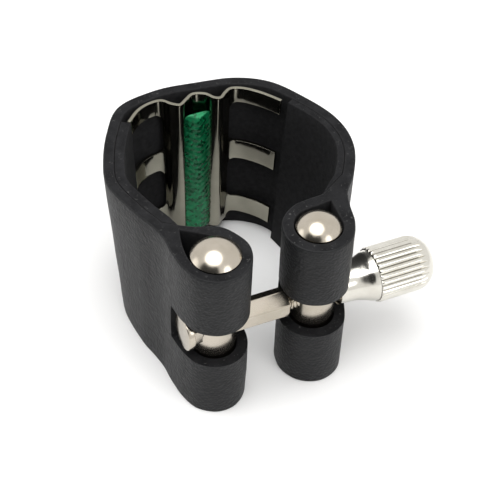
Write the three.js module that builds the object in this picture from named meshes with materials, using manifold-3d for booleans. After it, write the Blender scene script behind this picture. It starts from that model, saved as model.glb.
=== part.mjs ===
// Saxophone ligature: a leather strap folded round two upright pins, a nickel pressure plate with a
// reed strip on its inside, and a thumb screw and sleeve nut that draw the two pins together.
// Millimetres. +X runs along the screw towards its knob, +Y from the screw to the reed plate, and
// +Z up the mouthpiece. The strap stands on its lower rim at z = 0.
import * as THREE from "three";
import { mergeVertices } from "three/addons/utils/BufferGeometryUtils.js";
import Module from "manifold-3d";

const wasm = await Module();
wasm.setup();

// ---- Strap ----
const HEIGHT = 26; // strap width, which stands along the mouthpiece
const LAYER = 1.5; // one thickness of leather
const LEFT_ARM = 2.9; // skin and lining together, left of the plate
const RIGHT_ARM = 2.5; // skin and lining together, right of the plate
const PIN_X = 7.2; // each pin's distance from the middle of the gap
const LEFT_LOOP = 4.75; // outer radius of the leather round the left pin
const RIGHT_LOOP = 4.85; // outer radius of the leather round the right pin
const LOOP_BORE = 3.25; // inner radius of both loops
const WINDOW = { low: 9.55, high: 15.8, back: 2.75, halfWidth: 6.5 }; // cut across both loops
const BODY_CENTRE = { x: 1.2, y: 15 }; // axis of the strap's cone
// Share of the radius lost between the upper and the lower rim: left and right of the axis, right
// of it near the plate, behind it, and across each loop.
const CONE = { left: 0.13, right: 0.2, plate: 0.1, back: 0.08, loop: 0.06 };
const LEAN = { start: 4, full: 19, plate: 26 }; // y where the lean begins, is complete, and eases
const SECTION_GAP = 0.3; // clearance between the strap's back and its two arms
const LEFT_SPLIT = 17; // y of the cut between the left arm and the back
const RIGHT_SPLIT = 15; // y of the cut between the right arm and the back

// ---- Pins ----
const PIN_RADIUS = 2.95;
const PIN_FOOT = 0.5; // the pins stop this far above the lower rim
const PIN_CHAMFER = 0.4;
const LEFT_DOME = { radius: 3.3, base: 26.2, rise: 1.6 }; // domed ends on the upper rim
const RIGHT_DOME = { radius: 2.95, base: 25.9, rise: 1.5 };

// ---- Sleeve nut and thumb screw, on one axis through both pins ----
const SCREW_Z = 13.1;
const NUT_FLATS = 3.6; // hexagon, across the flats
const NUT_END = 3.1; // x of the open end
const NUT_HEAD = { radius: 2.6, from: -11.7, to: -10.75, chamfer: 0.15 };
const NUT_BORE = { radius: 1.5, bottom: -9.2 };
const LEFT_PIN_HOLE = 2.3;
const RIGHT_PIN_HOLE = 1.65;
const ROD = { radius: 1.35, tip: -8, chamfer: 0.4 };
const NECK = { radius: 2.55, from: 10.4 };
const KNOB = { from: 15.8, to: 22, radius: 3.85, flutes: 28, depth: 0.28, tip: 24.8 };

// ---- Pressure plate and reed strip ----
const SHEET = 0.45; // plate thickness
const PLATE = { low: 1.6, high: 25.8, railLow: 2.8 }; // the rails start above the spine's foot
const OPENINGS = [ // between the three rails on each side
  { low: 5.75, high: 13.1 },
  { low: 16.3, high: 23.4 },
];
const SPINE = { left: -2.7, right: 7 }; // the middle of the plate, between the openings
const OPENING_CORNER = 1.3;
const STRIP = { x: 1.95, y: 29.25, width: 4.1, thickness: 1.3, edge: 1.1, low: 1.9, high: 23.5 };
const STRIP_CORNER = 0.95; // round corners at the strip's upper end

const REACH = 30; // how far cutting shapes go beyond what they cut
const FINEST = 0.003; // slivers thinner than this are merged into their neighbours

const degrees = THREE.MathUtils.degToRad;
const point = (x, y) => new THREE.Vector3(x, y, 0);

// Points on a circle round a pin, from one angle to another.
function arc(x, radius, from, to, count) {
  return Array.from({ length: count }, (_, i) => {
    const a = degrees(from + ((to - from) * i) / (count - 1));
    return point(x + radius * Math.cos(a), radius * Math.sin(a));
  });
}

// Outer face of the strap in plan at the upper rim, clockwise from where the left loop comes back
// to its arm, round the left pin, round the mouthpiece and round the right pin to its arm.
const leftLoop = [
  point(-9.6, 6.9), point(-8, 6), point(-6, 5.15), point(-4.5, 4.35),
  ...arc(-PIN_X, LEFT_LOOP, 38, -175, 7),
];
const leftSide = [point(-12.3, 2.8), point(-12.3, 5.4), point(-12.8, 7.6), point(-14.1, 10.9)];
const back = [
  point(-15.6, 17), point(-14.5, 21.6), point(-12.2, 26.55), point(-8.9, 30.85), point(-3.4, 32.35),
  point(2.4, 32), point(8.3, 31), point(13, 28.25), point(16.25, 23.25), point(18.2, 18.75),
];
const rightSide = [point(18.7, 15), point(18.05, 11.4), point(15.45, 6.75), point(13.45, 4.15)];
const rightLoop = [
  point(12.7, 1.9), ...arc(PIN_X, RIGHT_LOOP, -12, -250, 7), point(7.7, 4.98), point(10.2, 5.15),
];
const stations = [...leftLoop, ...leftSide, ...back, ...rightSide, ...rightLoop];
const FACE = new THREE.CatmullRomCurve3(stations, false, "centripetal");
const at = (station, beyond = 0) =>
  (stations.indexOf(station) + beyond) / (stations.length - 1);

// A plan curve between two parameters, moved to its right by an offset.
function offsetCurve(curve, from, to, offset, count) {
  return Array.from({ length: count }, (_, i) => {
    const u = from + ((to - from) * i) / (count - 1);
    const p = curve.getPoint(u);
    const t = curve.getTangent(u);
    return new THREE.Vector2(p.x + t.y * offset, p.y - t.x * offset);
  });
}

// The cone: below the upper rim, points draw in towards the axis of the mouthpiece, and the
// loops narrow across their pins.
function coned(geometry) {
  const { smoothstep } = THREE.MathUtils;
  const p = geometry.attributes.position;
  for (let i = 0; i < p.count; i++) {
    const drop = 1 - p.getZ(i) / HEIGHT;
    const x = p.getX(i);
    const y = p.getY(i);
    const eased = CONE.right - (CONE.right - CONE.plate) * smoothstep(y, LEAN.full, LEAN.plate);
    const lean = smoothstep(y, LEAN.start, LEAN.full) * (x < BODY_CENTRE.x ? CONE.left : eased);
    const loop = CONE.loop * (1 - smoothstep(y, 0, 2 * LEAN.start));
    const pinX = Math.sign(x) * PIN_X;
    p.setX(i, x - drop * (lean * (x - BODY_CENTRE.x) + loop * (x - pinX)));
    p.setY(i, y - drop * CONE.back * Math.max(0, y - BODY_CENTRE.y));
  }
  return geometry;
}

// A closed plan outline raised between two heights.
function raised(shape, low, high, curveSegments = 16) {
  const options = { depth: high - low, bevelEnabled: false, curveSegments };
  return new THREE.ExtrudeGeometry(shape, options).translate(0, 0, low);
}

// three.js geometry to a manifold-3d solid, and back.
function solid(geometry) {
  const bare = geometry.clone();
  bare.deleteAttribute("normal");
  bare.deleteAttribute("uv");
  const merged = mergeVertices(bare, 1e-4);
  return new wasm.Manifold(
    new wasm.Mesh({
      numProp: 3,
      vertProperties: merged.attributes.position.array,
      triVerts: new Uint32Array(merged.index.array),
    }),
  );
}

function geometryOf(manifold) {
  const mesh = manifold.simplify(FINEST).getMesh();
  const geometry = new THREE.BufferGeometry();
  geometry.setAttribute("position", new THREE.BufferAttribute(mesh.vertProperties, 3));
  geometry.setIndex(new THREE.BufferAttribute(mesh.triVerts, 1));
  return geometry;
}

// A box between two corners.
function block(low, high) {
  const size = high.map((v, i) => v - low[i]);
  const middle = high.map((v, i) => (v + low[i]) / 2);
  return solid(new THREE.BoxGeometry(...size).translate(...middle));
}

// A turned solid along X from a profile of [x, radius] pairs that starts and ends on the axis.
function turned(profile, segments = 40) {
  const points = profile.map(([x, radius]) => new THREE.Vector2(radius, x));
  return new THREE.LatheGeometry(points, segments)
    .rotateZ(-Math.PI / 2)
    .translate(0, 0, SCREW_Z);
}

// ---- Materials ----
const leather = new THREE.MeshStandardMaterial({ color: 0x2b2b2d, roughness: 0.6 });
const nickel = new THREE.MeshStandardMaterial({ color: 0xd2cabc, roughness: 0.18, metalness: 1 });
const sheetNickel = new THREE.MeshStandardMaterial({ color: 0xb9b4a6, roughness: 0.25, metalness: 1 });
const greenBraid = new THREE.MeshStandardMaterial({ color: 0x0f7a45, roughness: 0.35, metalness: 0.3 });

// ---- Strap: one folded strip, in three sections that the joints move apart ----
const FEATHER = point(-9.75, 5.95); // where the left loop's end meets its arm
const RIGHT_FEATHER = point(10.7, 3.6);
const PLATE_SEAT = { left: at(back[2], 0.5), right: at(back[7], 0.75) }; // ends of the lining

function strapOutline() {
  const lining = (from, to, thickness) => offsetCurve(FACE, from, to, thickness, 45);
  const shape = new THREE.Shape([
    ...offsetCurve(FACE, 0, 1, 0, 241),
    ...lining(at(rightSide[2]), PLATE_SEAT.right, RIGHT_ARM),
    ...lining(PLATE_SEAT.right, PLATE_SEAT.left, LAYER),
    ...lining(PLATE_SEAT.left, at(leftSide[2]), LEFT_ARM),
  ]);
  const left = new THREE.Path().moveTo(FEATHER.x, FEATHER.y);
  left.quadraticCurveTo(-10.9, 2.6, -PIN_X - LOOP_BORE - 0.1, 0);
  left.absarc(-PIN_X, 0, LOOP_BORE, Math.PI, degrees(415), false);
  const right = new THREE.Path().moveTo(RIGHT_FEATHER.x, RIGHT_FEATHER.y);
  right.lineTo(PIN_X, LOOP_BORE);
  right.absarc(PIN_X, 0, LOOP_BORE, degrees(90), degrees(356), false);
  shape.holes.push(left, right);
  return shape;
}

const windows = [-1, 1].map((side) =>
  block(
    [side * PIN_X - WINDOW.halfWidth, -REACH, WINDOW.low],
    [side * PIN_X + WINDOW.halfWidth, WINDOW.back, WINDOW.high],
  ),
);
const strap = windows.reduce(
  (leatherStrip, window) => leatherStrip.subtract(window),
  solid(coned(raised(strapOutline(), 0, HEIGHT))),
);

// The back ends at a narrow cut on each side, where the arms begin.
const arm = (low, high) => geometryOf(strap.intersect(block(low, high)));
const clear = SECTION_GAP / 2;
const midX = BODY_CENTRE.x;
const below = (left, y) => [[left ? -REACH : midX, -REACH, -1], [left ? midX : REACH, y, HEIGHT + 1]];
const leftArm = arm(...below(true, LEFT_SPLIT - clear));
const rightArm = arm(...below(false, RIGHT_SPLIT - clear));
const strapBack = geometryOf(
  strap
    .subtract(block(...below(true, LEFT_SPLIT + clear)))
    .subtract(block(...below(false, RIGHT_SPLIT + clear))),
);

// ---- Pressure plate: sheet bent into two ridges that press on the reed ----
const WAVE = new THREE.CatmullRomCurve3(
  [
    point(-8.5, 27.7), point(-6.4, 29.55), point(-4.4, 30.3), point(-2.75, 30.25), point(-1.65, 29.1),
    point(-0.65, 28.5), point(0.5, 29.2), point(1.8, 29.95), point(3.45, 29.4), point(4.4, 28.15),
    point(5.2, 27.85), point(6.1, 28.55), point(7.2, 29.15), point(8.8, 28.6), point(10.5, 27.15),
    point(11.65, 25.8), point(12.8, 24.2),
  ],
  false,
  "centripetal",
);

function pressurePlate() {
  const outline = new THREE.Shape([
    ...offsetCurve(WAVE, 0, 1, SHEET / 2, 61),
    ...offsetCurve(WAVE, 1, 0, -SHEET / 2, 61),
  ]);
  const sheet = solid(coned(raised(outline, PLATE.low, PLATE.high)));
  const foot = { low: PLATE.low - REACH, high: PLATE.railLow };
  return [foot, ...OPENINGS].reduce(
    (plate, { low, high }) =>
      plate
        .subtract(roundedSlot(-REACH, SPINE.left, low, high, OPENING_CORNER))
        .subtract(roundedSlot(SPINE.right, REACH, low, high, OPENING_CORNER)),
    sheet,
  );
}

// A bar along Y with a round-cornered section, for openings and rounded ends.
function roundedSlot(left, right, low, high, r) {
  const slot = new THREE.Shape();
  slot.moveTo(left + r, low);
  slot.absarc(right - r, low + r, r, -Math.PI / 2, 0, false);
  slot.absarc(right - r, high - r, r, 0, Math.PI / 2, false);
  slot.absarc(left + r, high - r, r, Math.PI / 2, Math.PI, false);
  slot.absarc(left + r, low + r, r, Math.PI, 1.5 * Math.PI, false);
  const bar = raised(slot, 0, 2 * REACH, 6).rotateX(Math.PI / 2);
  return solid(bar.translate(0, 2 * REACH, 0));
}

// ---- Reed strip: a domed band in the valley between the ridges ----
function reedStrip() {
  const halfWidth = STRIP.width / 2;
  const outline = new THREE.Shape();
  outline.moveTo(STRIP.x - halfWidth, STRIP.y - STRIP.edge);
  const crown = STRIP.y - 2 * STRIP.thickness + STRIP.edge;
  outline.quadraticCurveTo(STRIP.x, crown, STRIP.x + halfWidth, STRIP.y - STRIP.edge);
  outline.quadraticCurveTo(STRIP.x, STRIP.y + STRIP.edge, STRIP.x - halfWidth, STRIP.y - STRIP.edge);
  const band = solid(raised(outline, STRIP.low, STRIP.high, 8));
  const [left, right] = [STRIP.x - halfWidth, STRIP.x + halfWidth];
  const end = roundedSlot(left, right, STRIP.low - REACH, STRIP.high, STRIP_CORNER);
  return coned(geometryOf(band.intersect(end)));
}

// ---- Pins: round bars with a domed head and a cross hole for the screw ----
function pin(dome, hole) {
  const capRadius = (dome.radius ** 2 + dome.rise ** 2) / (2 * dome.rise);
  const half = Math.asin(dome.radius / capRadius);
  const cap = Array.from({ length: 7 }, (_, i) => {
    const a = half * (1 - i / 6);
    return new THREE.Vector2(
      i === 6 ? 0 : capRadius * Math.sin(a),
      dome.base + dome.rise - capRadius * (1 - Math.cos(a)),
    );
  });
  const profile = [
    new THREE.Vector2(0, PIN_FOOT),
    new THREE.Vector2(PIN_RADIUS - PIN_CHAMFER, PIN_FOOT),
    new THREE.Vector2(PIN_RADIUS, PIN_FOOT + PIN_CHAMFER),
    new THREE.Vector2(PIN_RADIUS, dome.base),
    ...(dome.radius > PIN_RADIUS ? cap : cap.slice(1)),
  ];
  const bar = solid(new THREE.LatheGeometry(profile, 40).rotateX(Math.PI / 2));
  const bore = new THREE.CylinderGeometry(hole, hole, REACH, 32).rotateZ(Math.PI / 2);
  return geometryOf(bar.subtract(solid(bore.translate(0, 0, SCREW_Z))));
}

// ---- Sleeve nut: round head, hexagonal barrel with one facet facing front, threaded bore ----
function sleeveNut() {
  const { radius, from, to, chamfer } = NUT_HEAD;
  const head = turned([
    [from, 0], [from, radius - chamfer], [from + chamfer, radius], [to, radius], [to, 0],
  ]);
  const corner = NUT_FLATS / Math.sqrt(3);
  const length = NUT_END - to + 0.2;
  const barrel = new THREE.CylinderGeometry(corner, corner, length, 6)
    .rotateZ(Math.PI / 2)
    .translate(NUT_END - length / 2, 0, SCREW_Z);
  const bore = turned([
    [NUT_BORE.bottom - NUT_BORE.radius / 2, 0], [NUT_BORE.bottom, NUT_BORE.radius],
    [NUT_END + 1, NUT_BORE.radius], [NUT_END + 1, 0],
  ]);
  return geometryOf(solid(head).add(solid(barrel)).subtract(solid(bore)));
}

// ---- Thumb screw: threaded rod, flared neck, fluted knob and domed end, turned from one bar ----
function thumbScrew() {
  const flare = [[13, 2.72], [14.4, 3.12], [15.2, 3.5], [KNOB.from, KNOB.radius - KNOB.depth]];
  const dome = [[0.35, 0.985], [1.1, 0.88], [1.9, 0.7], [2.45, 0.45]].map(([x, share]) => [
    KNOB.to + x,
    KNOB.radius * share,
  ]);
  const core = turned([
    [ROD.tip, 0], [ROD.tip, ROD.radius - ROD.chamfer], [ROD.tip + ROD.chamfer, ROD.radius],
    [NECK.from, ROD.radius], [NECK.from, NECK.radius],
    ...flare, [KNOB.to, KNOB.radius - 0.02], ...dome, [KNOB.tip, 0],
  ]);
  const outline = new THREE.Shape(
    Array.from({ length: 2 * KNOB.flutes }, (_, i) => {
      const angle = (i * Math.PI) / KNOB.flutes;
      const r = KNOB.radius - (i % 2 ? KNOB.depth : 0);
      return new THREE.Vector2(r * Math.cos(angle), r * Math.sin(angle));
    }),
  );
  const flutes = raised(outline, 0, KNOB.to - KNOB.from)
    .rotateY(Math.PI / 2)
    .translate(KNOB.from, 0, SCREW_Z);
  return geometryOf(solid(core).add(solid(flutes)));
}

// ---- Assembly ----
function named(name, geometry, material) {
  const mesh = new THREE.Mesh(geometry, material);
  mesh.name = name;
  return mesh;
}

const leftPin = named("left_pin", pin(LEFT_DOME, LEFT_PIN_HOLE), nickel);
leftPin.position.x = -PIN_X;
const rightPin = named("right_pin", pin(RIGHT_DOME, RIGHT_PIN_HOLE), nickel);
rightPin.position.x = PIN_X;

const band = new THREE.Group();
band.add(
  named("strap_back", strapBack, leather),
  named("pressure_plate", geometryOf(pressurePlate()), sheetNickel),
  named("reed_strip", reedStrip(), greenBraid),
);
const leftClamp = new THREE.Group();
leftClamp.add(
  named("strap_left_arm", leftArm, leather),
  leftPin,
  named("sleeve_nut", sleeveNut(), nickel),
);
const rightClamp = new THREE.Group();
rightClamp.add(
  named("strap_right_arm", rightArm, leather),
  rightPin,
  named("thumb_screw", thumbScrew(), nickel),
);

// The part's origin is under the middle of its bounding box.
const ligature = new THREE.Group();
ligature.add(band, leftClamp, rightClamp);
const box = new THREE.Box3().setFromObject(ligature, true);
const middle = box.getCenter(new THREE.Vector3());
ligature.position.set(-middle.x, -middle.y, -box.min.z);

export default ligature;
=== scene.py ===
"""A leather strap ligature for a saxophone mouthpiece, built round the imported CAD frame.

Shapes are worked out in plan millimetres: x and y from the middle between the two pins, z up from
the lower rim. place() turns them into metres in the row frame.
"""

import math

import bmesh
import bpy
import numpy as np
from mathutils import Matrix, Vector, noise
from mathutils.geometry import delaunay_2d_cdt


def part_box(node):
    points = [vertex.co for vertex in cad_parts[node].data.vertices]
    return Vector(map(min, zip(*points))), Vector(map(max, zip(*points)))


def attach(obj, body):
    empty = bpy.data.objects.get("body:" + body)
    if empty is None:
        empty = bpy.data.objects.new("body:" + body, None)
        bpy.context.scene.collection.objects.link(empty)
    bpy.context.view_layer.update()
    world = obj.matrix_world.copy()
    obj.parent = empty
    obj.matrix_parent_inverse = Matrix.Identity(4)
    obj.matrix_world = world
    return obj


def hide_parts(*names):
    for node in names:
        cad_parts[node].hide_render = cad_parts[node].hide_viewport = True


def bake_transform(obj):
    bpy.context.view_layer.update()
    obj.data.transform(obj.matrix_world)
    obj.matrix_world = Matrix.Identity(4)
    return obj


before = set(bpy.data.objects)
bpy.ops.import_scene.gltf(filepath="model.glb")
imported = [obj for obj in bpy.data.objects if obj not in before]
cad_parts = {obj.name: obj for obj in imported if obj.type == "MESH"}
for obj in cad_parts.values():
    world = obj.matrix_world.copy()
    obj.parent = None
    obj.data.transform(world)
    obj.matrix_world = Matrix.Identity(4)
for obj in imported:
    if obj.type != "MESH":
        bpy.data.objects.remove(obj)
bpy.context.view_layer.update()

MM = 0.001


def size_of(node):
    """A node's lowest and highest corners, in millimetres."""
    low, high = (np.array(corner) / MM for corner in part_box(node))
    return low, high


def middle_of(node):
    low, high = size_of(node)
    return (low + high) / 2


# ---- Places taken from the frame, in millimetres ----
ORIGIN = (middle_of("left_pin") + middle_of("right_pin")) / 2 * (1, 1, 0)
PIN_X = (middle_of("right_pin") - middle_of("left_pin"))[0] / 2
HEIGHT = size_of("strap_back")[1][2]
SCREW_Z = middle_of("sleeve_nut")[2]
PIN_RADIUS = np.ptp([corner[0] for corner in size_of("right_pin")]) / 2
NUT_FROM, NUT_END = (corner[0] - ORIGIN[0] for corner in size_of("sleeve_nut"))
NUT_HEAD_RADIUS = np.ptp([corner[2] for corner in size_of("sleeve_nut")]) / 2
ROD_TIP, KNOB_TIP = (corner[0] - ORIGIN[0] for corner in size_of("thumb_screw"))
KNOB_RADIUS = np.ptp([corner[2] for corner in size_of("thumb_screw")]) / 2
PLATE_LOW, PLATE_HIGH = (corner[2] for corner in size_of("pressure_plate"))
STRIP_LOW, STRIP_HIGH = (corner[2] for corner in size_of("reed_strip"))

# ---- Strap ----
LAYER = 1.5  # one thickness of leather
LEFT_ARM = 2.9  # skin and lining together, left of the plate
RIGHT_ARM = 2.5
LEFT_LOOP = 4.75  # outer radius of the leather round each pin
RIGHT_LOOP = 4.85
LOOP_BORE = 3.25
WINDOW = {"low": 9.55, "high": 15.8, "back": 2.75, "half": 6.5, "front": -8.0}
CONE_CENTRE = (1.2, 15.0)
# Share of the radius lost between the upper and the lower rim, and the y where the lean changes
CONE = {"left": 0.13, "right": 0.2, "plate": 0.1, "back": 0.08, "loop": 0.06}
LEAN = {"start": 4.0, "full": 19.0, "plate": 26.0}
LAYER_GAP = 0.03  # groove between the skin and the lining
RIM_ROUND = 0.2  # radius of the skin's cut edges
LINING_ROUND = 0.12
LINING_INSET = 0.06  # the lining ends this far inside both rims
RIM_ROUGH = 0.05  # height of the fibres' unevenness on the rims
SEAM_X = -2.0  # where the strap's left and right pieces meet, behind the plate
LOOPS_END = 12.0  # up to this y the strap's two sides are parted at x = 0


def arc(x, radius, start, end, count):
    """Points round (x, 0), between two angles in degrees."""
    turn = np.radians(np.linspace(start, end, count))
    return list(zip(x + radius * np.cos(turn), radius * np.sin(turn)))


LEFT_LOOP_PATH = [
    (-9.6, 6.9), (-8, 6), (-6, 5.15), (-4.5, 4.35), *arc(-PIN_X, LEFT_LOOP, 38, -175, 7),
]
LEFT_SIDE = [(-12.3, 2.8), (-12.3, 5.4), (-12.8, 7.6), (-14.1, 10.9)]
BACK = [
    (-15.6, 17), (-14.5, 21.6), (-12.2, 26.55), (-8.9, 30.85), (-3.4, 32.35),
    (2.4, 32), (8.3, 31), (13, 28.25), (16.25, 23.25), (18.2, 18.75),
]
RIGHT_SIDE = [(18.7, 15), (18.05, 11.4), (15.45, 6.75), (13.45, 4.15)]
RIGHT_LOOP_PATH = [(12.7, 1.9), *arc(PIN_X, RIGHT_LOOP, -12, -250, 7), (7.7, 4.98), (10.2, 5.15)]
FACE = LEFT_LOOP_PATH + LEFT_SIDE + BACK + RIGHT_SIDE + RIGHT_LOOP_PATH
LEFT_ARM_START = FACE.index(LEFT_SIDE[2])  # stations along the face
LEFT_SEAT = FACE.index(BACK[2]) + 0.5  # the lining stops at the plate's ends
RIGHT_SEAT = FACE.index(BACK[7]) + 0.75
RIGHT_ARM_START = FACE.index(RIGHT_SIDE[2])
LEFT_TIP = (-9.75, 5.95)  # where the leather round each pin meets its arm
RIGHT_TIP = (10.7, 3.6)
LEFT_PULL = (-10.9, 2.6)  # the left space's wall bends towards this point
LEFT_FOOT = (-PIN_X - LOOP_BORE - 0.1, 0)

# ---- Pressure plate and reed strip ----
SHEET = 0.45
SHEET_ROUND = 0.09
WAVE = [
    (-8.5, 27.7), (-6.4, 29.55), (-4.4, 30.3), (-2.75, 30.25), (-1.65, 29.1), (-0.65, 28.5),
    (0.5, 29.2), (1.8, 29.95), (3.45, 29.4), (4.4, 28.15), (5.2, 27.85), (6.1, 28.55), (7.2, 29.15),
    (8.8, 28.6), (10.5, 27.15), (11.65, 25.8), (12.8, 24.2),
]
OPENINGS = [(5.75, 13.1), (16.3, 23.4)]
RAIL_LOW = 2.8  # the rails start above the spine's foot
SPINE = (-2.7, 7.0)
OPENING_CORNER = 1.3
STRIP = {"x": 1.95, "y": 29.25, "width": 4.1, "thickness": 1.3, "edge": 1.1, "corner": 0.95}
PILLOW = {"length": 1.3, "rise": 0.5, "sunk": 0.3}  # how the strip rounds off at its upper end
CHEVRON = {"pitch": 0.95, "slope": 0.55, "height": 0.022, "cell": 0.65, "knot": 0.012}

# ---- Pins, sleeve nut and thumb screw ----
LEFT_DOME = {"radius": 3.3, "base": 26.2, "rise": 1.6}
RIGHT_DOME = {"radius": 2.95, "base": 25.9, "rise": 1.5}
PIN_FOOT = 0.5
PIN_FOOT_RADIUS = 2.4
NUT_FLATS = 3.6
NUT_HEAD_TO = -10.75
NUT_HEAD_ROUND = 0.16
NUT_BORE = 1.5
THREAD = {"radius": 1.42, "depth": 0.16, "pitch": 0.5}
NECK_FROM = 10.4
KNOB_FROM, KNOB_TO = 15.8, 22.0
FLUTES = 28
FLUTE_DEPTH = 0.28
FLUTE_SHADE = 0.72  # share of a flute's depth below which its metal is painted darker, as painted shade in the flute's hollow
FLARE = [(10.4, 2.55), (11.6, 2.6), (13, 2.74), (14.2, 3.06), (15.1, 3.4), (15.8, 3.57)]

# ---- Fineness of the meshes ----
SPACING = 0.42  # between the vertices inside a leather rim
WALL_ROWS = 12
ROW_STEP = 0.87  # rows of even triangles lie this share of their spacing apart
EDGE_CLEAR = 0.45  # share of the spacing kept free along an outline
MERGED = 1e-7  # points closer than this are one point
SHEET_STEP = 0.3
SHEET_ROW = 0.9
SHEET_CLEAR = 0.14  # kept free along the plate's outline


# ---- Geometry helpers ----
def place(points):
    """Plan millimetres to metres in the row frame."""
    return (np.asarray(points, float) + ORIGIN) * MM


def smoothstep(x, low, high):
    """Rises from 0 at low to 1 at high, level at both ends."""
    t = np.clip((x - low) / (high - low), 0, 1)
    return t * t * (3 - 2 * t)


def coned(points):
    """Draws points below the upper rim in towards the mouthpiece's axis, and narrows the loops."""
    x, y, z = np.asarray(points, float).T
    drop = 1 - z / HEIGHT
    eased = CONE["right"] - (CONE["right"] - CONE["plate"]) * smoothstep(y, LEAN["full"], LEAN["plate"])
    lean = smoothstep(y, LEAN["start"], LEAN["full"]) * np.where(x < CONE_CENTRE[0], CONE["left"], eased)
    loop = CONE["loop"] * (1 - smoothstep(y, 0, 2 * LEAN["start"]))
    return np.column_stack([
        x - drop * (lean * (x - CONE_CENTRE[0]) + loop * (x - np.sign(x) * PIN_X)),
        y - drop * CONE["back"] * np.maximum(0, y - CONE_CENTRE[1]),
        z,
    ])


def spline(stations, u):
    """Points and tangents of a centripetal Catmull-Rom curve at station numbers u."""
    p = np.asarray(stations, float)
    p = np.vstack([2 * p[0] - p[1], p, 2 * p[-1] - p[-2]])
    u = np.asarray(u, float)
    i = np.clip(np.floor(u).astype(int), 0, len(stations) - 2)
    w = (u - i)[:, None]
    a, b, c, d = (p[i + k] for k in range(4))
    ab, bc, cd = (np.sqrt(np.linalg.norm(q - r, axis=1))[:, None] for q, r in ((b, a), (c, b), (d, c)))
    m1 = ((b - a) / ab - (c - a) / (ab + bc) + (c - b) / bc) * bc
    m2 = ((c - b) / bc - (d - b) / (bc + cd) + (d - c) / cd) * bc
    c2 = -3 * b + 3 * c - 2 * m1 - m2
    c3 = 2 * b - 2 * c + m1 + m2
    point = b + m1 * w + c2 * w**2 + c3 * w**3
    tangent = m1 + 2 * c2 * w + 3 * c3 * w**2
    return point, tangent / np.linalg.norm(tangent, axis=1)[:, None]


def offset(stations, start, end, distance, count):
    """A stretch of the curve moved to its right."""
    point, tangent = spline(stations, np.linspace(start, end, count))
    return point + distance * np.column_stack([tangent[:, 1], -tangent[:, 0]])


def inside(points, loops):
    """Whether each plan point lies inside the loops, by the even-odd rule."""
    odd = np.zeros(len(points), bool)
    for loop in loops:
        a, b = loop, np.roll(loop, -1, axis=0)
        for (ax, ay), (bx, by) in zip(a, b):
            if ay == by:
                continue
            span = (points[:, 1] >= min(ay, by)) & (points[:, 1] < max(ay, by))
            odd ^= span & (points[:, 0] < ax + (points[:, 1] - ay) * (bx - ax) / (by - ay))
    return odd


def nearest(points, others):
    """Each point's distance to the nearest of the others."""
    gap = points[:, None, :] - others[None, :, :]
    return np.sqrt((gap**2).sum(2).min(1))


class Shell:
    """Vertices and faces of one mesh as it is built, in plan millimetres."""

    def __init__(self):
        self.points, self.faces, self.slots = [], [], []

    def add_points(self, points):
        first = len(self.points)
        self.points.extend(map(tuple, np.asarray(points, float)))
        return np.arange(first, len(self.points))

    def add_face(self, face, slot=0):
        self.faces.append([int(i) for i in face])
        self.slots.append(slot)

    def join_rings(self, lower, upper, slot=0):
        """Quads between two rings of the same length. slot is one number or one for each quad."""
        n = len(lower)
        for i in range(n):
            k = (i + 1) % n
            chosen = slot if np.isscalar(slot) else slot[i]
            self.add_face((lower[i], upper[i], upper[k], lower[k]), chosen)

    def object(self, name, materials, angle=40):
        data = bpy.data.meshes.new(name)
        data.from_pydata([Vector(p) for p in place(self.points)], [], self.faces)
        for material in materials:
            data.materials.append(material)
        data.polygons.foreach_set("material_index", self.slots)
        data.validate()
        data.shade_smooth()
        data.set_sharp_from_angle(angle=math.radians(angle))
        made = bpy.data.objects.new(name, data)
        bpy.context.scene.collection.objects.link(made)
        return made


def fill(shell, rings, z, upward, rough):
    """A cut rim between rings of vertices that are in the shell already, with a rough middle."""
    loops = [np.array([shell.points[i][:2] for i in ring]) for ring in rings]
    edge = np.vstack(loops)
    low, high = edge.min(0), edge.max(0)
    columns = np.arange(low[0], high[0], SPACING)
    rows = np.arange(low[1], high[1], SPACING * ROW_STEP)
    grid = np.array([(x + (k % 2) * SPACING / 2, y) for k, y in enumerate(rows) for x in columns])
    grid = grid[inside(grid, loops)]
    grid = grid[nearest(grid, edge) > EDGE_CLEAR * SPACING]
    border, first = [], 0
    for ring in rings:
        n = len(ring)
        border += [(first + i, first + (i + 1) % n) for i in range(n)]
        first += n
    flat = [Vector(p) for p in np.vstack([edge, grid])]
    made = delaunay_2d_cdt(flat, border, [], 0, MERGED)
    corners, triangles, origin = made[0], made[2], made[3]
    lifted = [(x, y, z + rough * noise.noise(Vector((x, y, z)) * 2.3)) for x, y in grid]
    known = np.concatenate([*rings, shell.add_points(lifted)])
    index = [known[ids[0]] if ids else None for ids in origin]
    centres = np.array([sum((corners[i] for i in t), Vector((0, 0))) / 3 for t in triangles])
    for t, good in zip(triangles, inside(centres, loops)):
        face = [index[i] for i in t]
        if good and None not in face and len(set(face)) == 3:
            shell.add_face(face if upward else face[::-1], EDGE)


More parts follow.
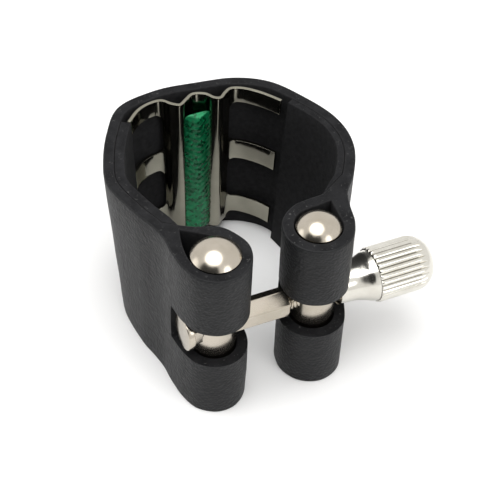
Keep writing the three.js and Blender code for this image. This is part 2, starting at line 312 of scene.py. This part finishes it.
def slab(shell, loops, low, high, bevel, walls, rough):
    """A plan outline raised between two heights with rounded edges.

    The first loop runs clockwise and the holes run the other way, so that the material lies to the
    right of each. walls gives each loop's wall slots. A bevel gets narrower near another loop.
    """
    lower_rings, upper_rings = [], []
    for number, loop in enumerate(loops):
        along = np.roll(loop, -1, axis=0) - loop
        along /= np.linalg.norm(along, axis=1)[:, None]
        right = np.column_stack([along[:, 1], -along[:, 0]])
        inward = right + np.roll(right, 1, axis=0)
        inward /= np.maximum(1e-9, np.linalg.norm(inward, axis=1))[:, None]
        inward /= np.maximum(0.6, (inward * right).sum(1))[:, None]
        radius = np.full(len(loop), float(bevel))
        others = [other for k, other in enumerate(loops) if k != number]
        if others:
            radius = np.minimum(radius, 0.38 * nearest(loop, np.vstack(others)))
        turns = np.radians([90, 60, 30, 0])
        levels = [(1 - np.cos(t), low + radius * (1 - np.sin(t))) for t in turns]
        straight = high - low - 2 * radius
        levels += [(0, low + radius + straight * k / WALL_ROWS) for k in range(1, WALL_ROWS)]
        levels += [(1 - np.cos(t), high - radius * (1 - np.sin(t))) for t in turns[::-1]]
        rings = [
            shell.add_points(np.column_stack([loop + inward * (radius * inset)[:, None], z]))
            for inset, z in levels
        ]
        for a, b in zip(rings, rings[1:]):
            shell.join_rings(a, b, walls[number])
        lower_rings.append(rings[0])
        upper_rings.append(rings[-1])
    fill(shell, upper_rings, high, True, rough)
    fill(shell, lower_rings, low, False, rough)


def revolve(shell, profile, place_ring, segments, slot=0):
    """A turned surface from (along, radius) pairs. A zero radius is a pole.

    A radius may also be a function of the turn, for a surface that isn't round.
    """
    rings = []
    for along, radius in profile:
        turn = np.arange(segments) * 2 * np.pi / segments
        if np.isscalar(radius) and radius == 0:
            rings.append(shell.add_points([place_ring(along, 0, 0)]))
            continue
        radii = radius(turn) if callable(radius) else np.full(segments, radius)
        rings.append(shell.add_points([place_ring(along, r, t) for r, t in zip(radii, turn)]))
    for a, b in zip(rings, rings[1:]):
        for i in range(segments):
            k = (i + 1) % segments
            if len(a) == 1:
                shell.add_face((a[0], b[i], b[k]), slot)
            elif len(b) == 1:
                shell.add_face((a[i], b[0], a[k]), slot)
            else:
                shell.add_face((a[i], b[i], b[k], a[k]), slot)


def along_x(x, r, turn):
    """A point on a ring round the screw's axis."""
    return x, -r * math.sin(turn), SCREW_Z + r * math.cos(turn)


def upright(centre):
    """Places rings round a pin's axis."""
    return lambda z, r, turn: (centre + r * math.cos(-turn), r * math.sin(-turn), z)


def subtract(target, cutter):
    """Cuts the cutter's shape out of the target and removes the cutter."""
    cut = target.modifiers.new("cut", "BOOLEAN")
    cut.operation, cut.solver, cut.object = "DIFFERENCE", "EXACT", cutter
    applied(target)
    bpy.data.objects.remove(cutter)


def applied(target):
    """Bakes the target's modifiers into its mesh."""
    graph = bpy.context.evaluated_depsgraph_get()
    data = bpy.data.meshes.new_from_object(target.evaluated_get(graph))
    target.modifiers.clear()
    target.data = data


# ---- Materials ----
class Graph:
    """A material's nodes: add() makes one, sets its values and links its inputs."""

    def __init__(self, name):
        self.material = bpy.data.materials.new(name)
        self.material.use_nodes = True
        self.tree = self.material.node_tree
        self.shader = self.tree.nodes["Principled BSDF"]
        self.place = self.add("TexCoord").outputs["Object"]

    def add(self, kind, inputs=None, **settings):
        node = self.tree.nodes.new("ShaderNode" + kind)
        for key, value in settings.items():
            setattr(node, key, value)
        for key, value in (inputs or {}).items():
            self.set(node, key, value)
        return node

    def set(self, node, key, value):
        socket = node.inputs[key]
        if isinstance(value, bpy.types.NodeSocket):
            self.tree.links.new(value, socket)
        else:
            socket.default_value = value

    def finish(self, **values):
        for key, value in values.items():
            self.set(self.shader, key.replace("_", " "), value)
        return self.material

    def stretched(self, scale):
        return self.add("Mapping", {"Vector": self.place, "Scale": scale}).outputs[0]

    def noise(self, scale, detail=3.0, rough=0.55, vector=None):
        inputs = {"Vector": vector or self.place, "Scale": scale, "Detail": detail, "Roughness": rough}
        return self.add("TexNoise", inputs).outputs["Fac"]

    def ramp(self, value, stops):
        """stops are (position, colour) pairs; a number stands for a grey."""
        node = self.add("ValToRGB", {"Fac": value})
        ramp = node.color_ramp
        while len(ramp.elements) < len(stops):
            ramp.elements.new(0.5)
        for element, (position, colour) in zip(ramp.elements, stops):
            element.position = position
            element.color = (*((colour,) * 3 if np.isscalar(colour) else colour), 1)
        return node.outputs["Color"]

    def mix(self, factor, a, b):
        node = self.add("Mix", data_type="RGBA")
        for key, value in (("Factor", factor), ("A", a), ("B", b)):
            socket = next(s for s in node.inputs if s.name == key and s.enabled)
            if isinstance(value, bpy.types.NodeSocket):
                self.tree.links.new(value, socket)
            elif key == "Factor":
                socket.default_value = value
            else:
                socket.default_value = (*value, 1)
        return next(s for s in node.outputs if s.enabled)

    def math(self, operation, *values):
        node = self.add("Math", operation=operation)
        for socket, value in zip(node.inputs, values):
            if isinstance(value, bpy.types.NodeSocket):
                self.tree.links.new(value, socket)
            else:
                socket.default_value = value
        return node.outputs[0]

    def bump(self, height, distance, strength):
        inputs = {"Height": height, "Distance": distance, "Strength": strength}
        return self.add("Bump", inputs).outputs[0]

    def patches(self, value, low, high, a, b):
        """Colour a where the value is under low, colour b over high, and a blend between."""
        return self.mix(self.ramp(value, [(low, 0.0), (high, 1.0)]), a, b)


def leather_skin():
    g = Graph("leather_skin")
    cells = g.add("TexVoronoi", {"Vector": g.place, "Scale": 2600.0}).outputs["Distance"]
    creases = g.noise(1150.0, 5.0, 0.62)
    broad = g.noise(210.0, 3.0, 0.55)
    height = g.math("ADD", g.math("MULTIPLY", cells, 0.8), creases)
    colour = g.patches(broad, 0.35, 0.7, (0.0030, 0.0033, 0.0042), (0.0058, 0.0063, 0.0075))
    worn = g.ramp(g.noise(2400.0, 3.0, 0.7), [(0.66, 0.0), (0.82, 0.5)])
    colour = g.mix(worn, colour, (0.030, 0.030, 0.033))
    rough = g.ramp(creases, [(0.25, 0.46), (0.8, 0.62)])
    normal = g.bump(height, 0.00012, 0.75)
    return g.finish(Base_Color=colour, Roughness=rough, Normal=normal, Specular_IOR_Level=0.28)


def leather_lining():
    g = Graph("leather_lining")
    fibres = g.noise(1500.0, 6.0, 0.65)
    colour = g.ramp(fibres, [(0.3, (0.009, 0.009, 0.0098)), (0.8, (0.021, 0.021, 0.0225))])
    normal = g.bump(fibres, 0.00010, 0.5)
    return g.finish(Base_Color=colour, Roughness=0.82, Normal=normal, Specular_IOR_Level=0.16)


def leather_edge():
    g = Graph("leather_edge")
    fibres = g.noise(1500.0, 6.0, 0.7)
    grain = g.noise(520.0, 3.0, 0.5)
    colour = g.patches(grain, 0.35, 0.65, (0.0060, 0.0061, 0.0070), (0.0135, 0.0136, 0.0150))
    specks = g.ramp(g.noise(2600.0, 2.0, 0.6), [(0.64, 0.0), (0.74, 1.0)])
    colour = g.mix(g.math("MULTIPLY", specks, 0.55), colour, (0.11, 0.109, 0.107))
    height = g.math("ADD", fibres, g.math("MULTIPLY", specks, 0.25))
    normal = g.bump(height, 0.00018, 0.7)
    return g.finish(Base_Color=colour, Roughness=0.78, Normal=normal, Specular_IOR_Level=0.14)


def polished_nickel():
    g = Graph("polished_nickel")
    cloud = g.noise(260.0, 4.0, 0.6)
    fine = g.noise(5200.0, 2.0, 0.5, g.stretched((0.12, 1, 1)))
    colour = g.patches(cloud, 0.35, 0.7, (0.50, 0.455, 0.39), (0.42, 0.38, 0.315))
    tarnish = g.ramp(g.noise(900.0, 5.0, 0.65), [(0.67, 0.0), (0.75, 1.0)])
    colour = g.mix(g.math("MULTIPLY", tarnish, 0.35), colour, (0.42, 0.30, 0.21))
    rough = g.math("ADD", g.ramp(cloud, [(0.3, 0.17), (0.75, 0.23)]), g.math("MULTIPLY", tarnish, 0.08))
    return g.finish(Base_Color=colour, Metallic=1.0, Roughness=rough, Normal=g.bump(fine, 0.000004, 0.3))


def turned_nickel():
    """Nickel over fine rings that run round the screw's axis."""
    g = Graph("turned_nickel")
    cloud = g.noise(240.0, 4.0, 0.6)
    rings = g.noise(3600.0, 2.0, 0.6, g.stretched((1, 0.02, 0.02)))
    colour = g.patches(cloud, 0.35, 0.7, (0.68, 0.665, 0.615), (0.56, 0.54, 0.49))
    rough = g.ramp(rings, [(0.3, 0.13), (0.75, 0.22)])
    return g.finish(Base_Color=colour, Metallic=1.0, Roughness=rough, Normal=g.bump(rings, 0.00002, 0.5))


def shaded_nickel():
    """Darker nickel for the bottom of the knob's flutes: painted shade in their hollows."""
    g = Graph("shaded_nickel")
    cloud = g.noise(700.0, 4.0, 0.6)
    colour = g.patches(cloud, 0.35, 0.7, (0.30, 0.29, 0.255), (0.17, 0.16, 0.135))
    rough = g.ramp(cloud, [(0.3, 0.22), (0.75, 0.34)])
    return g.finish(Base_Color=colour, Metallic=1.0, Roughness=rough)


def sheet_nickel():
    g = Graph("sheet_nickel")
    brushed = g.noise(2400.0, 3.0, 0.6, g.stretched((1, 1, 0.03)))
    cloud = g.noise(200.0, 3.0, 0.55)
    colour = g.patches(cloud, 0.35, 0.7, (0.30, 0.29, 0.24), (0.235, 0.225, 0.185))
    rough = g.ramp(brushed, [(0.25, 0.09), (0.8, 0.16)])
    return g.finish(Base_Color=colour, Metallic=1.0, Roughness=rough, Normal=g.bump(brushed, 0.00001, 0.5))


def green_braid():
    g = Graph("green_braid")
    glitter = g.add("TexVoronoi", {"Vector": g.place, "Scale": 2100.0}).outputs["Color"]
    tone = g.add("SeparateColor", {"Color": glitter}).outputs[0]
    colour = g.patches(tone, 0.1, 0.95, (0.0, 0.075, 0.026), (0.002, 0.24, 0.088))
    rough = g.ramp(tone, [(0.0, 0.22), (1.0, 0.42)])
    return g.finish(
        Base_Color=colour, Metallic=0.5, Roughness=rough, Coat_Weight=0.15, Coat_Roughness=0.15,
        Normal=g.bump(tone, 0.00004, 0.25),
    )


def floor_white():
    g = Graph("floor_white")
    tone = g.ramp(g.noise(9.0, 3.0, 0.5), [(0.3, 0.90), (0.7, 0.915)])
    return g.finish(Base_Color=tone, Roughness=0.9, Specular_IOR_Level=0.1)


SKIN, LINING, EDGE = range(3)
LEATHER = [leather_skin(), leather_lining(), leather_edge()]
NICKEL, TURNED, PLATE_METAL = polished_nickel(), turned_nickel(), sheet_nickel()


# ---- Strap ----
def skin_loops():
    """The strap's outer layer with the two spaces round the pins, and each loop's wall slots."""
    face = offset(FACE, 0, len(FACE) - 1, 0, 440)
    seat = offset(FACE, RIGHT_ARM_START, LEFT_ARM_START, LAYER, 150)
    slots = [SKIN] * (len(face) - 1) + [LINING] * (len(seat) + 1)
    step = np.linspace(0, 1, 14)[:-1, None]
    tip, pull, foot = (np.array(point) for point in (LEFT_TIP, LEFT_PULL, LEFT_FOOT))
    wall = (1 - step) ** 2 * tip + 2 * step * (1 - step) * pull + step**2 * foot
    left = np.vstack([wall, arc(-PIN_X, LOOP_BORE, 180, 412, 64)])
    wall = np.linspace(RIGHT_TIP, (PIN_X, LOOP_BORE), 6)[:-1]
    right = np.vstack([wall, arc(PIN_X, LOOP_BORE, 90, 354, 64)])
    return [np.vstack([face, seat]), left, right], [slots, LINING, LINING]


def lining_loops():
    """The lining of each arm, between the plate's end and the leather that comes round the pin."""
    near = LAYER + LAYER_GAP
    left_end, right_end = (np.array(FACE[k]) + (0, LAYER_GAP) for k in (0, -1))
    left = np.vstack([
        offset(FACE, LEFT_ARM_START, LEFT_SEAT, near, 40),
        offset(FACE, LEFT_SEAT, LEFT_ARM_START, LEFT_ARM, 40),
        left_end,
    ])
    right = np.vstack([
        offset(FACE, RIGHT_SEAT, RIGHT_ARM_START, near, 40),
        right_end,
        offset(FACE, RIGHT_ARM_START, RIGHT_SEAT, RIGHT_ARM, 40),
    ])
    return left, right


def window_cutter(side):
    """A box with rounded corners, across the front of one loop."""
    shell = Shell()
    x, half, r = side * PIN_X, WINDOW["half"], 0.25
    low, high = WINDOW["low"], WINDOW["high"]
    turn = np.radians(np.linspace(0, 90, 5))
    back = WINDOW["back"] - r
    section = [(WINDOW["front"], high)]
    section += [(back + r * math.sin(t), high - r + r * math.cos(t)) for t in turn]
    section += [(back + r * math.cos(t), low + r - r * math.sin(t)) for t in turn]
    section += [(WINDOW["front"], low)]
    left, right = (shell.add_points([(x + s * half, y, z) for y, z in section]) for s in (-1, 1))
    shell.join_rings(left, right, EDGE)
    shell.add_face(left, EDGE)
    shell.add_face(right[::-1], EDGE)
    return shell.object("window", LEATHER)


def strap():
    """The whole strap as one mesh, with slow waves in its surface."""
    shell = Shell()
    loops, walls = skin_loops()
    slab(shell, loops, 0, HEIGHT, RIM_ROUND, walls, RIM_ROUGH)
    for loop in lining_loops():
        slab(shell, [loop], LINING_INSET, HEIGHT - LINING_INSET, LINING_ROUND, [LINING], 0.06)
    waves = np.array([
        [noise.noise(Vector(p) * 0.16 + Vector((k * 9.1, 3.7, 1.3))) for k in range(3)]
        for p in shell.points
    ])
    shell.points = coned(shell.points) + waves * (0.10, 0.10, 0.05)
    whole = shell.object("strap", LEATHER)
    for side in (-1, 1):
        subtract(whole, window_cutter(side))
    return whole


def halves(whole):
    """Splits the strap at its seam into two objects that keep the whole's shading."""
    work = bmesh.new()
    work.from_mesh(whole.data)
    seam = Vector(place((SEAM_X, 0, 0)))
    between_pins = Vector(place((0, LOOPS_END, 0)))
    everything = work.verts[:] + work.edges[:] + work.faces[:]
    bmesh.ops.bisect_plane(work, geom=everything, dist=1e-8, plane_co=seam, plane_no=(1, 0, 0))
    work.to_mesh(whole.data)
    work.free()
    data = whole.data
    data.set_sharp_from_angle(angle=math.radians(40))
    normals = [tuple(n.vector) for n in data.corner_normals]
    made = []
    for name, side in (("strap_left_half", -1), ("strap_right_half", 1)):
        points, faces, slots, shading, known = [], [], [], [], {}
        for face in data.polygons:
            middle = seam.x if face.center.y > between_pins.y else between_pins.x
            if (face.center.x - middle) * side <= 0:
                continue
            corners = []
            for loop in face.loop_indices:
                vertex = data.loops[loop].vertex_index
                if vertex not in known:
                    known[vertex] = len(points)
                    points.append(data.vertices[vertex].co.copy())
                corners.append(known[vertex])
                shading.append(normals[loop])
            faces.append(corners)
            slots.append(face.material_index)
        part = bpy.data.meshes.new(name)
        part.from_pydata(points, [], faces)
        for material in LEATHER:
            part.materials.append(material)
        part.polygons.foreach_set("material_index", slots)
        part.shade_smooth()
        part.normals_split_custom_set(shading)
        half = bpy.data.objects.new(name, part)
        bpy.context.scene.collection.objects.link(half)
        made.append(half)
    bpy.data.objects.remove(whole)
    return made


# ---- Pressure plate ----
def plate():
    """Sheet metal: an outline of length along the wave and height, wrapped on to the wave."""
    steps = np.linspace(0, len(WAVE) - 1, 600)
    path, tangents = spline(WAVE, steps)
    length = np.concatenate([[0], np.cumsum(np.linalg.norm(np.diff(path, axis=0), axis=1))])
    total = length[-1]
    cuts = [np.interp(x, path[:, 0], length) for x in SPINE]

    def notch(edge, end, low, high):
        """A U-shaped opening that comes in from the sheet's end, as points going upwards."""
        r, out = OPENING_CORNER, math.copysign(1, end - edge)
        turn = np.radians(np.linspace(0, 90, 7))
        lower = [(edge + out * r * (1 - math.sin(t)), low + r * (1 - math.cos(t))) for t in turn]
        upper = [(edge + out * r * (1 - math.cos(t)), high - r * (1 - math.sin(t))) for t in turn]
        return [(end, low), *lower, *upper, (end, high)]

    left = [point for low, high in OPENINGS for point in notch(cuts[0], 0, low, high)]
    right = [point for low, high in OPENINGS for point in notch(cuts[1], total, low, high)]
    r = OPENING_CORNER
    foot = [
        (r * (1 - math.cos(t)), RAIL_LOW - r * (1 - math.sin(t)))
        for t in np.radians(np.linspace(10, 90, 6))
    ]
    left = [(cuts[0] - away, z) for away, z in foot] + [(0, RAIL_LOW)] + left
    right = [(cuts[1] + away, z) for away, z in foot] + [(total, RAIL_LOW)] + right
    outline = [
        (cuts[0], PLATE_LOW), *left, (0, PLATE_HIGH), (total, PLATE_HIGH), *right[::-1],
        (cuts[1], PLATE_LOW),
    ]
    outline = densified(outline, SHEET_STEP)
    columns = np.arange(SHEET_STEP / 2, total, SHEET_STEP)
    grid = np.array([(s, z) for s in columns for z in np.arange(PLATE_LOW + 0.2, PLATE_HIGH, SHEET_ROW)])
    grid = grid[inside(grid, [outline])]
    grid = grid[nearest(grid, outline) > SHEET_CLEAR]
    flat = np.vstack([outline, grid])
    n = len(outline)
    border = [(i, (i + 1) % n) for i in range(n)]
    made = delaunay_2d_cdt([Vector(p) for p in flat], border, [], 0, MERGED)
    triangles = [[made[3][i][0] for i in t] for t in made[2]]
    centres = np.array([flat[t].mean(0) for t in triangles])
    shell = Shell()
    middle = np.column_stack([np.interp(flat[:, 0], length, path[:, k]) for k in range(2)])
    across = np.column_stack([np.interp(flat[:, 0], length, tangents[:, k]) for k in (1, 0)]) * (1, -1)
    sides = []
    for sign in (-1, 1):
        plan = middle + sign * across * SHEET / 2
        sides.append(shell.add_points(coned(np.column_stack([plan, flat[:, 1]]))))
    for t, good in zip(triangles, inside(centres, [outline])):
        if good:
            shell.add_face([sides[0][i] for i in t][::-1])
            shell.add_face([sides[1][i] for i in t])
    shell.join_rings(sides[0][:n], sides[1][:n])
    made = shell.object("pressure_plate_sheet", [PLATE_METAL], 50)
    rounded(made, SHEET_ROUND)
    return made


def densified(outline, step):
    """A closed outline with extra points on its long edges."""
    points = []
    for a, b in zip(outline, outline[1:] + outline[:1]):
        count = max(1, int(math.dist(a, b) / step))
        points += [tuple(np.array(a) + (np.array(b) - a) * k / count) for k in range(count)]
    return np.array(points)


def rounded(target, width):
    """Rounds the target's sharp edges, in millimetres."""
    bevel = target.modifiers.new("bevel", "BEVEL")
    bevel.width, bevel.segments, bevel.limit_method = width * MM, 3, "ANGLE"
    bevel.angle_limit = math.radians(50)
    applied(target)
    target.data.shade_smooth()
    target.data.set_sharp_from_angle(angle=math.radians(60))


# ---- Reed strip ----
def reed_strip():
    """A domed band with rows of raised chevrons."""
    shell = Shell()
    half, back = STRIP["width"] / 2, STRIP["y"] - STRIP["edge"]
    crown = STRIP["thickness"] - STRIP["edge"] + PILLOW["rise"]
    corner = STRIP["corner"]
    rings = []
    for z in np.linspace(STRIP_LOW, STRIP_HIGH, 420):
        end = STRIP_HIGH - z
        width = half - corner + math.sqrt(corner**2 - max(0, corner - end) ** 2)
        x = np.linspace(-width, width, 40)
        pillow = math.sqrt(1 - max(0, 1 - end / PILLOW["length"]) ** 2)
        dome = crown * pillow * (1 - (x / half) ** 2) - PILLOW["sunk"]
        chevron = np.cos(2 * np.pi * (z - CHEVRON["slope"] * np.abs(x)) / CHEVRON["pitch"])
        knots = CHEVRON["height"] + CHEVRON["knot"] * np.cos(2 * np.pi * x / CHEVRON["cell"])
        ease = np.clip((width - np.abs(x)) / 0.3, 0, 1) * min(1, end / 0.25)
        level = np.full(len(x), z)
        front = np.column_stack([STRIP["x"] + x, back - dome - knots * chevron * ease, level])
        rear = np.column_stack([STRIP["x"] + x[::-1], np.full(len(x), back + 0.35), level])
        rings.append(shell.add_points(coned(np.vstack([front, rear]))))
    for a, b in zip(rings, rings[1:]):
        shell.join_rings(a[::-1], b[::-1])
    shell.add_face(rings[0])
    shell.add_face(rings[-1][::-1])
    return shell.object("reed_strip_braid", [green_braid()], 60)


# ---- Metal parts ----
def pin(name, side, dome):
    """A round bar with a domed end. It is solid: the cross hole for the screw isn't cut in it."""
    cap = (dome["radius"] ** 2 + dome["rise"] ** 2) / (2 * dome["rise"])
    half = math.asin(dome["radius"] / cap)
    top = dome["base"] + dome["rise"]
    curve = [(top - cap * (1 - math.cos(t)), cap * math.sin(t)) for t in np.linspace(half, 0, 21)]
    foot = [(PIN_FOOT, 0), (PIN_FOOT, PIN_FOOT_RADIUS / 2), (PIN_FOOT, PIN_FOOT_RADIUS)]
    for t in np.radians([0, 30, 60, 90]):
        foot.append((PIN_FOOT + 0.4 * (1 - math.cos(t)), 2.55 + 0.4 * math.sin(t)))
    body = [(z, PIN_RADIUS) for z in np.linspace(1.2, dome["base"] - 0.12, 30)]
    lip = []
    if dome["radius"] > PIN_RADIUS:
        lip = [(dome["base"] - 0.1, PIN_RADIUS + 0.02), (dome["base"] - 0.1, dome["radius"] - 0.06)]
    shell = Shell()
    revolve(shell, foot + body + lip + curve, upright(side * PIN_X), 128)
    return shell.object(name, [NICKEL], 35)


def sleeve_nut():
    """Round head, hexagonal barrel with a facet facing front, and an open threaded end."""
    shell = Shell()
    c = NUT_HEAD_ROUND
    r = NUT_HEAD_RADIUS - c
    turn = np.radians([0, 30, 60, 90])
    head = [(NUT_FROM, 0), (NUT_FROM, 1.2)]
    head += [(NUT_FROM + c * (1 - math.cos(t)), r + c * math.sin(t)) for t in turn]
    head += [(NUT_HEAD_TO - c * (1 - math.sin(t)), r + c * math.cos(t)) for t in turn]
    head += [(NUT_HEAD_TO, 1.4), (NUT_HEAD_TO, 0)]
    revolve(shell, head, along_x, 96)
    corner = NUT_FLATS / math.sqrt(3)

    def ring(x, limit):
        """A hexagon with eased corners, cut to a circle near the chamfered end."""
        points = []
        for k in range(6):
            for shift in (-4, -2.5, -1, 0, 1, 2.5, 4, 12, 22, 30, 38, 48):
                turn = math.radians(60 * k + shift)
                away = abs((shift + 30) % 60 - 30)
                flat = NUT_FLATS / 2 / math.cos(math.radians(30 - away))
                radius = min(flat, corner - 0.05, limit)
                points.append(along_x(x, radius, turn))
        return shell.add_points(points)

    rows = [(NUT_HEAD_TO - 0.1, corner)]
    rows += [(x, corner) for x in np.linspace(NUT_HEAD_TO, NUT_END - 0.3, 8)]
    rows += [(NUT_END - 0.12, corner - 0.12), (NUT_END, corner - 0.32), (NUT_END, NUT_BORE + 0.15)]
    rows += [(NUT_END - 0.12, NUT_BORE), (ROD_TIP - 1.4, NUT_BORE)]
    rings = [ring(*row) for row in rows]
    for a, b in zip(rings, rings[1:]):
        shell.join_rings(a, b)
    shell.add_face(rings[0][::-1])
    shell.add_face(rings[-1])
    return shell.object("sleeve_nut_hex", [NICKEL], 18)


def thumb_screw():
    """Threaded rod, flared neck, fluted knob and domed end."""
    shell = Shell()
    pitch, depth = THREAD["pitch"], THREAD["depth"]

    def thread(x):
        fade = smoothstep(x, ROD_TIP, ROD_TIP + 0.8)

        def radius(turn):
            phase = np.mod(x / pitch - turn / (2 * np.pi), 1)
            crest = 1 - np.abs(2 * phase - 1)
            return THREAD["radius"] - depth * np.clip(crest * 1.3 - 0.15, 0, 1) - 0.25 * (1 - fade)

        return radius

    rod = [(ROD_TIP, 0)] + [(x, thread(x)) for x in np.arange(ROD_TIP, NECK_FROM + 0.3, pitch / 10)]
    rod.append((rod[-1][0], 0))
    revolve(shell, rod, along_x, 64, 1)

    neck = spline(FLARE, np.linspace(0, len(FLARE) - 1, 60))[0]
    chatter = 0.02 * np.cos(2 * np.pi * neck[:, 0] / 0.28) * smoothstep(neck[:, 0], 12.9, 11.2)

    def flute(turn):
        wave = np.abs(np.mod(turn * FLUTES / (2 * np.pi), 1) * 2 - 1)
        return KNOB_RADIUS - FLUTE_DEPTH * (1 - wave) ** 1.6

    def limited(limit):
        return lambda turn: np.minimum(flute(turn), limit)

    rim = [(NECK_FROM, 0), (NECK_FROM, 1.5), (NECK_FROM, 2.35), (NECK_FROM + 0.05, 2.48)]
    rows = rim + [(x, r + c) for (x, r), c in zip(neck, chatter)]
    rows += [(KNOB_FROM + 0.02, limited(3.62)), (KNOB_FROM + 0.1, limited(3.76)), (KNOB_FROM + 0.22, flute)]
    rows += [(x, flute) for x in np.linspace(KNOB_FROM + 0.6, KNOB_TO - 0.3, 12)]
    start = KNOB_TO - 0.3
    for t in np.linspace(0, math.pi / 2, 25)[:-1]:
        x = start + (KNOB_TIP - start) * math.sin(t)
        rows.append((x, limited((KNOB_RADIUS + 0.02) * math.cos(t) ** 0.72)))
    rows.append((KNOB_TIP, 0))
    revolve(shell, rows, along_x, FLUTES * 12)
    # Faces deep in the flutes get the darker nickel: painted shade where the flutes are hollow.
    shade_below = KNOB_RADIUS - FLUTE_DEPTH * FLUTE_SHADE
    for i, face in enumerate(shell.faces):
        x, y, z = np.mean([shell.points[k] for k in face], axis=0)
        if KNOB_FROM < x < KNOB_TO and math.hypot(y, z - SCREW_Z) < shade_below:
            shell.slots[i] = 2
    return shell.object("thumb_screw_turned", [TURNED, NICKEL, shaded_nickel()], 38)


# ---- Stage ----
def studio():
    """White floor, a bright surround with a darker side towards the viewer, and soft lamps."""
    data = bpy.data.meshes.new("floor")
    data.from_pydata([(-3, -3, 0), (3, -3, 0), (3, 3, 0), (-3, 3, 0)], [], [(0, 1, 2, 3)])
    data.materials.append(floor_white())
    floor = bpy.data.objects.new("floor", data)
    bpy.context.scene.collection.objects.link(floor)

    world = bpy.data.worlds.new("surround")
    world.use_nodes = True
    nodes, links = world.node_tree.nodes, world.node_tree.links
    direction = nodes.new("ShaderNodeTexCoord").outputs["Generated"]
    facing = nodes.new("ShaderNodeVectorMath")
    facing.operation = "DOT_PRODUCT"
    facing.inputs[1].default_value = Vector((-0.68, -0.57, 0.47)).normalized()
    links.new(direction, facing.inputs[0])
    ramp = nodes.new("ShaderNodeValToRGB")
    ramp.color_ramp.elements[0].position = 0.76
    ramp.color_ramp.elements[0].color = (1.0, 0.99, 0.97, 1)
    ramp.color_ramp.elements[1].position = 0.84
    ramp.color_ramp.elements[1].color = (0.03, 0.03, 0.03, 1)
    links.new(facing.outputs["Value"], ramp.inputs[0])
    links.new(ramp.outputs[0], nodes["Background"].inputs["Color"])
    nodes["Background"].inputs["Strength"].default_value = 1.1
    bpy.context.scene.world = world

    centre = place((0, 10, 10))
    lamps = [
        ("overhead", (-0.18, -0.09, 0.98), 0.45, 0.46, 1.6),
        ("left_side", (-0.86, 0.40, 0.30), 0.45, 0.22, 0.14),
        ("front_right", (0.365, -0.788, 0.497), 0.45, 0.20, 0.24),
    ]
    for name, direction, distance, size, power in lamps:
        light = bpy.data.lights.new(name, "AREA")
        light.shape, light.size, light.energy = "DISK", size, power
        lamp = bpy.data.objects.new(name, light)
        lamp.location = Vector(centre) + Vector(direction).normalized() * distance
        lamp.rotation_euler = Vector(direction).to_track_quat("Z", "Y").to_euler()
        bpy.context.scene.collection.objects.link(lamp)


def camera():
    """Looks down on the screw side from the left, rolled a little."""
    azimuth, elevation, roll = (math.radians(a) for a in (-25.688, 46.394, 2.959))
    distance = 0.226374
    aim = Vector(place((2.546, 10.441, 13.0)))
    back = Vector((
        math.sin(azimuth) * math.cos(elevation),
        -math.cos(azimuth) * math.cos(elevation),
        math.sin(elevation),
    ))
    right = Vector((math.cos(azimuth), math.sin(azimuth), 0))
    up = back.cross(right)
    lens = bpy.data.cameras.new("camera")
    lens.lens, lens.sensor_width = 118.41, 36
    lens.clip_start = 0.01
    made = bpy.data.objects.new("camera", lens)
    turned_right = right * math.cos(roll) + up * math.sin(roll)
    turned_up = up * math.cos(roll) - right * math.sin(roll)
    place_at = aim + back * distance
    rows = [(*row, there) for row, there in zip(zip(turned_right, turned_up, back), place_at)]
    made.matrix_world = Matrix([*rows, (0, 0, 0, 1)])
    bpy.context.scene.collection.objects.link(made)
    bpy.context.scene.camera = made


# ---- Assembly ----
left_half, right_half = halves(strap())
for half, arm in ((left_half, "left"), (right_half, "right")):
    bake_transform(half)
    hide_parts("strap_back", f"strap_{arm}_arm")

for piece, body, node, slot in (
    (plate(), "band", "pressure_plate", "sheet_nickel"),
    (reed_strip(), "band", "reed_strip", "green_strip"),
    (pin("left_pin_bar", -1, LEFT_DOME), "left_clamp", "left_pin", "polished_nickel"),
    (pin("right_pin_bar", 1, RIGHT_DOME), "right_clamp", "right_pin", "polished_nickel"),
    (sleeve_nut(), "left_clamp", "sleeve_nut", "polished_nickel"),
    (thumb_screw(), "screw", "thumb_screw", "polished_nickel"),
):
    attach(piece, body)
    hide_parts(node)

studio()
camera()
bpy.context.scene.view_settings.view_transform = "Standard"
